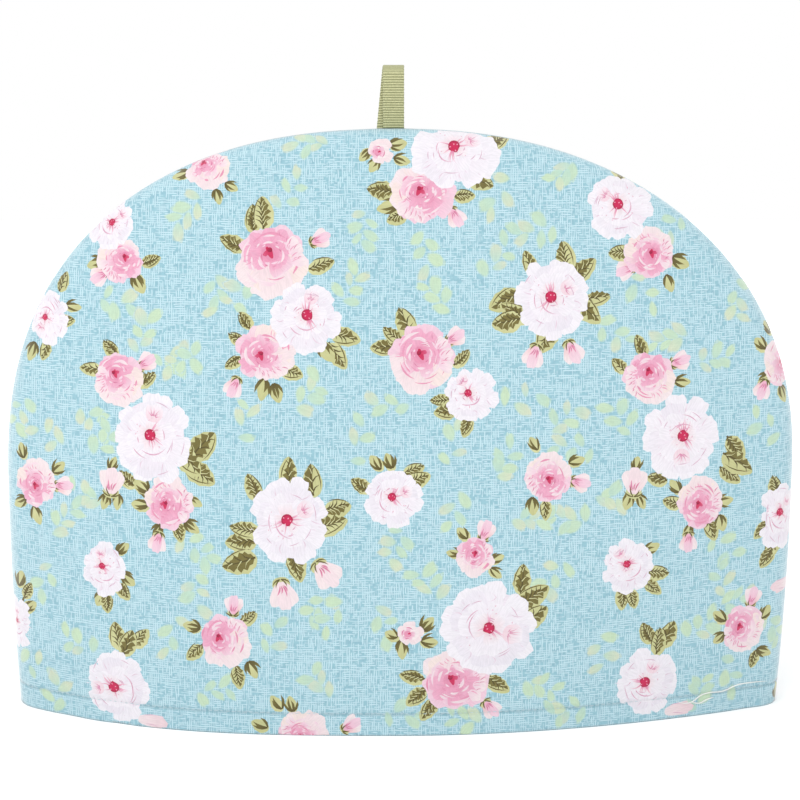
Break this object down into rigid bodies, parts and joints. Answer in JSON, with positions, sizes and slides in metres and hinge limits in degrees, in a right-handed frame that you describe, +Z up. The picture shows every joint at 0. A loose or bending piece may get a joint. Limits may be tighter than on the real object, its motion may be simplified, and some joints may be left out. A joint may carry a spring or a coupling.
{
  "type": "tea cosy",
  "caption": "Padded cotton tea cosy with an arched outline, open at the hem, printed with roses on pale aqua, with a ribbon hanging loop on the top seam.",
  "frame": {"origin": "centre of the footprint, on the plane of the hem", "axes": "+X runs across the cosy to the right as seen from the front, the front faces -Y, +Z is up towards the loop"},
  "size_m": [0.3626, 0.1102, 0.295],
  "materials": {
    "printed_cotton_front": "matt printed cotton over soft wadding",
    "printed_cotton_back": "matt printed cotton over soft wadding",
    "grosgrain_ribbon": "ribbed ribbon with a soft sheen"
  },
  "bodies": {
    "root": {"front_panel": "printed_cotton_front", "back_panel": "printed_cotton_back", "ribbon_loop": "grosgrain_ribbon"}
  },
  "joints": []
}
